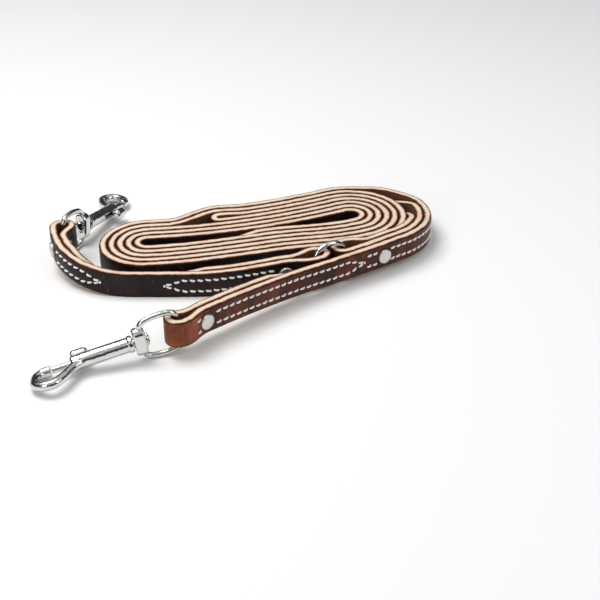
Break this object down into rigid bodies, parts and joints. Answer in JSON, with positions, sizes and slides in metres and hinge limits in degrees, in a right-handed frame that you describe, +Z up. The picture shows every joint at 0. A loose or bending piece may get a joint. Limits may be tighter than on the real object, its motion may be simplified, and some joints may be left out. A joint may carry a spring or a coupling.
{
  "type": "training leash",
  "caption": "Flat leather training leash rolled up on its edge, with a swivel bolt snap at each end and a short branch strap hung on a ring.",
  "frame": {"origin": "middle of the bounding box's footprint, on the surface the leash lies on", "axes": "+X along the longer side of the footprint, +Y to the back, +Z up"},
  "size_m": [0.1988, 0.1892, 0.0238],
  "materials": {
    "leather": "oiled chestnut to dark brown, cut edges natural",
    "thread": "white waxed thread",
    "nickel": "bright nickel plate",
    "satin_nickel": "satin nickel plate",
    "spring_steel": "plain spring wire"
  },
  "bodies": {
    "leash": {"main_strap": "leather", "ring_tab": "leather", "rivet_cap_snap_a": "satin_nickel", "rivet_post_snap_a": "satin_nickel", "rivet_cap_ring_tab": "satin_nickel", "rivet_post_ring_tab": "satin_nickel", "seam_snap_a": "thread", "seam_ring_tab": "thread"},
    "ring": {"branch_ring": "nickel"},
    "branch": {"branch_strap": "leather", "rivet_cap_branch_ring": "satin_nickel", "rivet_post_branch_ring": "satin_nickel", "rivet_cap_snap_b": "satin_nickel", "rivet_post_snap_b": "satin_nickel", "seam_branch_ring": "thread", "seam_snap_b": "thread"},
    "eye_a": {"eye_a": "nickel"},
    "snap_a": {"snap_body_a": "nickel", "swivel_stud_a": "nickel", "bolt_spring_a": "spring_steel"},
    "bolt_a": {"bolt_a": "nickel", "thumb_knob_a": "nickel"},
    "eye_b": {"eye_b": "nickel"},
    "snap_b": {"snap_body_b": "nickel", "swivel_stud_b": "nickel", "bolt_spring_b": "spring_steel"},
    "bolt_b": {"bolt_b": "nickel", "thumb_knob_b": "nickel"}
  },
  "joints": [
    {"name": "ring_turn", "type": "hinge", "parent": "leash", "child": "ring", "pos_m": [0.05176, 0.0113, 0.01085], "axis": [0, 0, 1], "range_deg": [0, 1.5]},
    {"name": "branch_turn", "type": "hinge", "parent": "ring", "child": "branch", "pos_m": [0.03532, 0.00218, 0.01085], "axis": [0, 0, 1], "range_deg": [0, 3.5]},
    {"name": "eye_a_turn", "type": "hinge", "parent": "leash", "child": "eye_a", "pos_m": [-0.02609, -0.05925, 0.01315], "axis": [-0.145, -0.0539, 0.988], "range_deg": [-40, 80]},
    {"name": "snap_a_swivel", "type": "hinge", "parent": "eye_a", "child": "snap_a", "pos_m": [-0.02609, -0.05925, 0.01315], "axis": [-0.926, -0.3444, -0.1547], "continuous": true},
    {"name": "bolt_a_slide", "type": "slide", "parent": "snap_a", "child": "bolt_a", "axis": [0.926, 0.3444, 0.1547], "range_m": [0, 0.008], "stiffness_N_per_m": 120, "springref_m": -0.01, "deforming": ["bolt_spring_a"]},
    {"name": "eye_b_turn", "type": "hinge", "parent": "branch", "child": "eye_b", "pos_m": [-0.09275, 0.0278, 0.01315], "axis": [0.058, 0.1434, 0.988], "range_deg": [-25, 90]},
    {"name": "snap_b_swivel", "type": "hinge", "parent": "eye_b", "child": "snap_b", "pos_m": [-0.09275, 0.0278, 0.01315], "axis": [0.3701, 0.916, -0.1547], "continuous": true},
    {"name": "bolt_b_slide", "type": "slide", "parent": "snap_b", "child": "bolt_b", "axis": [-0.3701, -0.916, 0.1547], "range_m": [0, 0.008], "stiffness_N_per_m": 120, "springref_m": -0.01, "deforming": ["bolt_spring_b"]}
  ]
}
